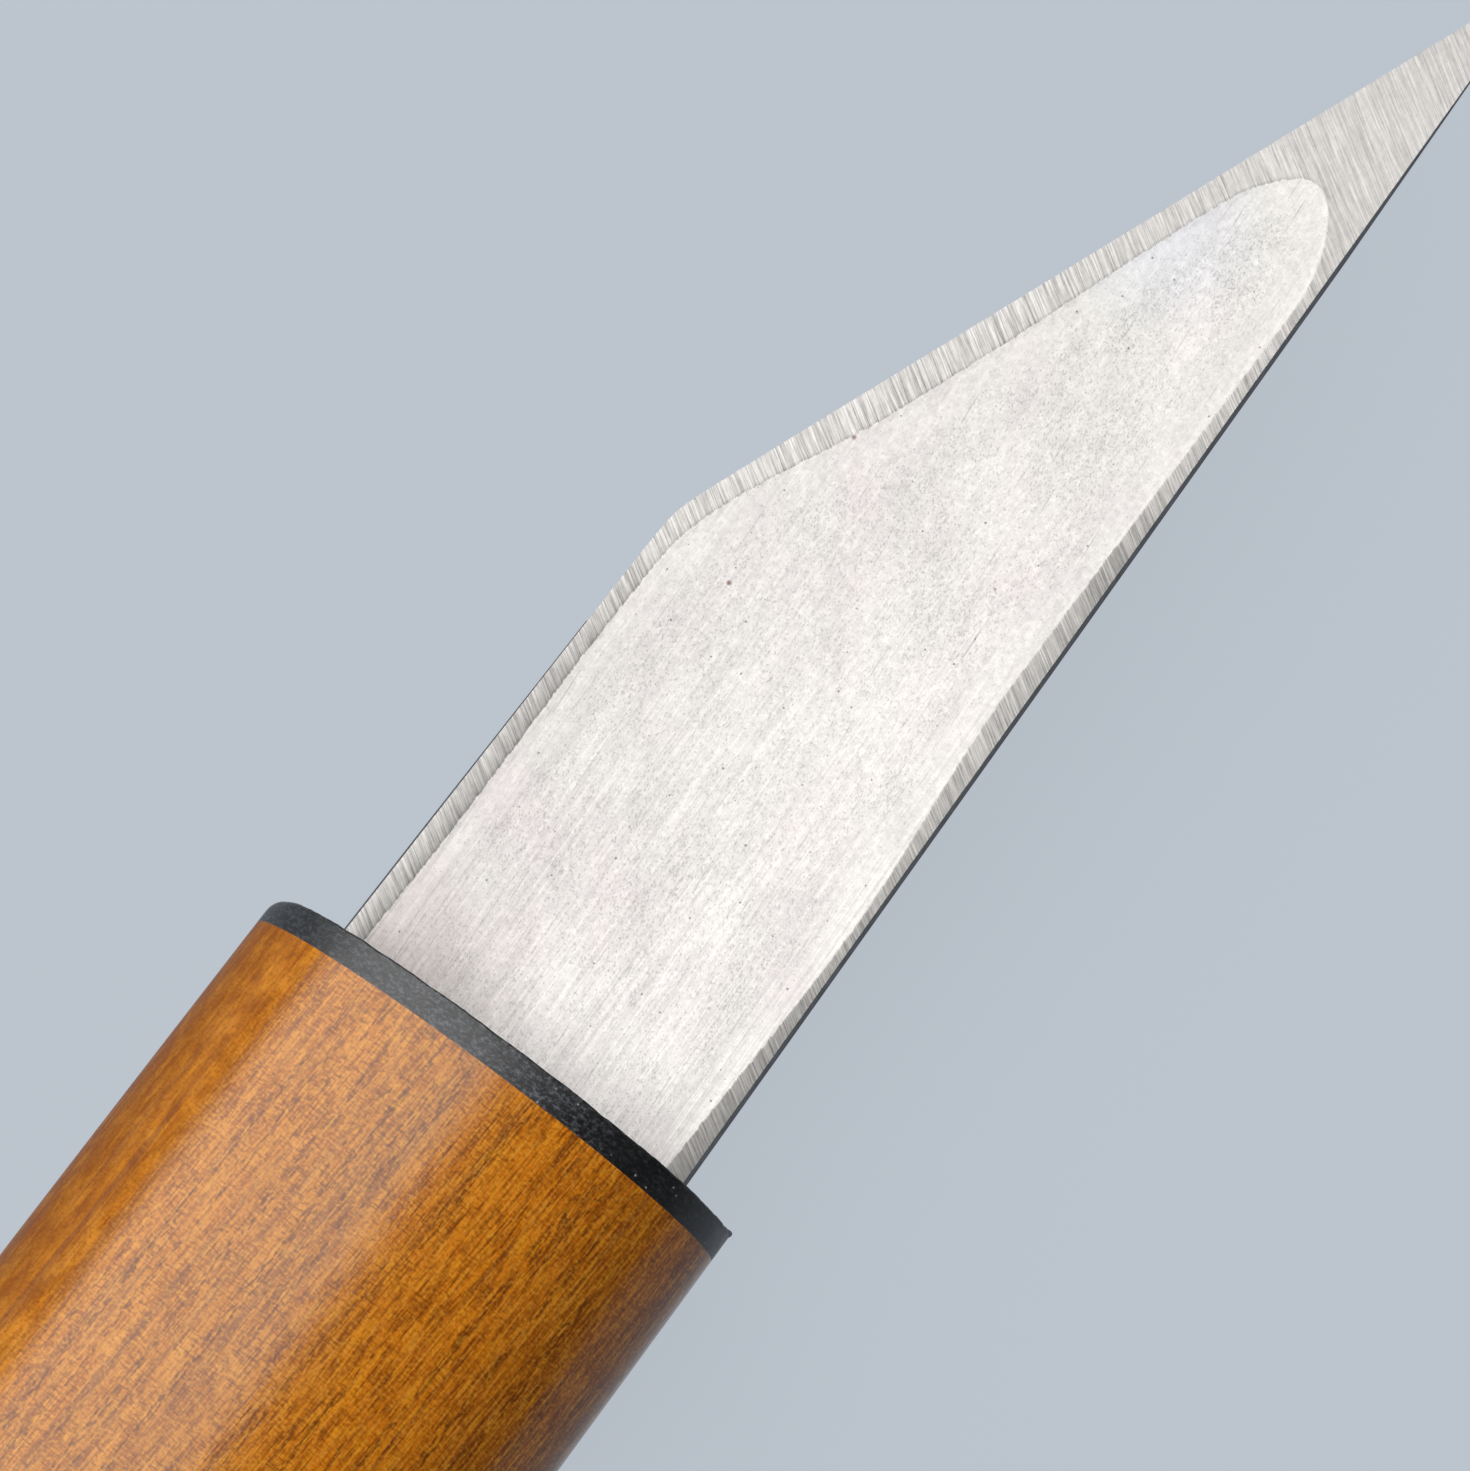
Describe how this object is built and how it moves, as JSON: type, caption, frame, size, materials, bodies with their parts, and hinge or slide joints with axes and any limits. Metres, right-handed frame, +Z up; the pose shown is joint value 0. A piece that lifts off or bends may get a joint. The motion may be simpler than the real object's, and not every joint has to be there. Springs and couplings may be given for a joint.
{
  "type": "marking knife",
  "caption": "Marking knife with a skewed single-bevel laminated blade, hollow-ground back, black collar and oval lacquered wooden handle.",
  "frame": {"origin": "on the surface that the handle lies on, under the middle of the knife's overall length", "axes": "+X towards the blade's tip, +Y towards the cutting edge, +Z up, out of the blade's hollow-ground back face"},
  "size_m": [0.2056, 0.0326, 0.0206],
  "materials": {
    "hard_steel": "matt ground hollow, satin scratched rims",
    "soft_iron": "black forged skin, ground bevel",
    "black_plastic": "sanded flush, dull",
    "lacquered_wood": "clear lacquer, satin gloss",
    "cured_resin": "cured, hidden"
  },
  "bodies": {
    "root": {"blade_steel": "hard_steel", "blade_iron": "soft_iron", "collar": "black_plastic", "handle_back_half": "lacquered_wood", "handle_front_half": "lacquered_wood", "tang_bedding": "cured_resin"}
  },
  "joints": []
}
